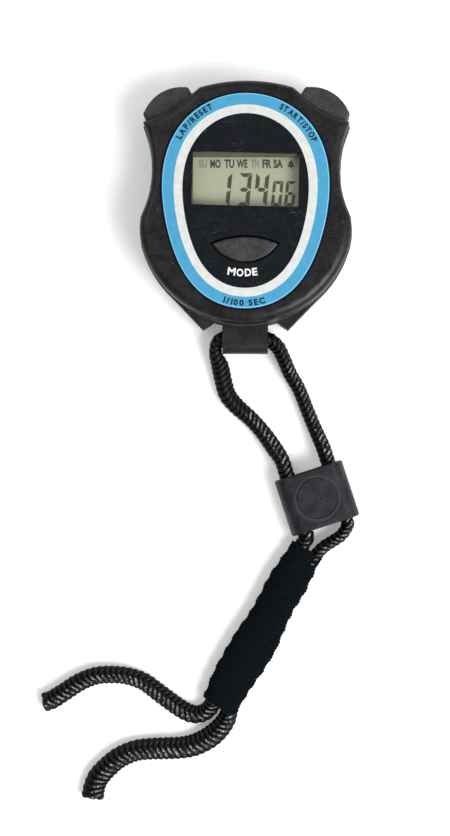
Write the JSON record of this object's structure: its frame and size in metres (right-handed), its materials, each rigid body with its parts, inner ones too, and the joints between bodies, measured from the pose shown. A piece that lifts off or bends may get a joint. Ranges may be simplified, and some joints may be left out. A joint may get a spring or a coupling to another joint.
{
  "type": "stopwatch",
  "caption": "Hand-held digital stopwatch in a waisted black case with top push buttons, a mode key, an egg-shaped face and a braided neck lanyard with a slider and a knitted sleeve.",
  "frame": {"origin": "under the middle of the case, without the lanyard, on the surface that its back rests on", "axes": "+Z out of the display, +Y from the cord lug to the crest between the top buttons, +X to the right of someone who reads the display"},
  "size_m": [0.0912, 0.2053, 0.018],
  "materials": {
    "front_black": "satin black moulded ABS",
    "rear_grain": "grained dark grey moulded ABS",
    "button_grain": "grained dark grey moulded ABS",
    "key_black": "satin black moulded ABS",
    "lens": "clear acrylic printed on its back in blue, white and black",
    "display_frame": "olive grey moulded plastic",
    "display_glass": "polarised display glass",
    "white_plastic": "white plastic",
    "silicone": "grey silicone",
    "board": "green solder resist on glass epoxy",
    "epoxy": "black epoxy",
    "steel": "nickel-plated steel",
    "sounder": "brass disc with a ceramic face",
    "slider": "satin dark grey moulded plastic",
    "cord": "braided black polyester",
    "knit": "knitted black polyester"
  },
  "bodies": {
    "case": {"front_shell": "front_black", "rear_shell": "rear_grain", "face_lens": "lens", "lcd_frame": "display_frame", "lcd_panel": "display_glass", "lcd_reflector": "white_plastic", "zebra_strip_upper": "silicone", "zebra_strip_lower": "silicone", "circuit_board": "board", "chip_cap": "epoxy", "quartz_can": "steel", "piezo_disc": "sounder", "piezo_spring": "steel", "battery_cell": "steel", "battery_contact_plus": "steel", "battery_contact_minus": "steel", "battery_door": "rear_grain", "battery_door_screw": "steel", "case_screw_1": "steel", "case_screw_2": "steel", "case_screw_3": "steel", "case_screw_4": "steel", "board_screw_1": "steel", "board_screw_2": "steel", "board_screw_3": "steel", "start_stop_switch": "epoxy", "lap_reset_switch": "epoxy", "mode_dome": "silicone", "knit_sleeve": "knit", "cord_left": "cord", "cord_right": "cord"},
    "start_stop": {"start_stop_button": "button_grain", "start_stop_plunger": "white_plastic"},
    "lap_reset": {"lap_reset_button": "button_grain", "lap_reset_plunger": "white_plastic"},
    "mode": {"mode_button": "key_black"},
    "slider": {"cord_slider": "slider"}
  },
  "joints": [
    {"name": "start_stop_press", "type": "slide", "parent": "case", "child": "start_stop", "axis": [-0.5223, -0.8528, 0], "range_m": [0, 0.0012], "stiffness_N_per_m": 2500},
    {"name": "lap_reset_press", "type": "slide", "parent": "case", "child": "lap_reset", "axis": [0.5223, -0.8528, 0], "range_m": [0, 0.0012], "stiffness_N_per_m": 2500},
    {"name": "mode_press", "type": "slide", "parent": "case", "child": "mode", "axis": [0, 0, -1], "range_m": [0, 0.0008], "stiffness_N_per_m": 2500, "deforming": ["mode_dome"]},
    {"name": "slider_shift", "type": "slide", "parent": "case", "child": "slider", "axis": [-0.3156, 0.9489, 0], "range_m": [0, 0.004]}
  ]
}
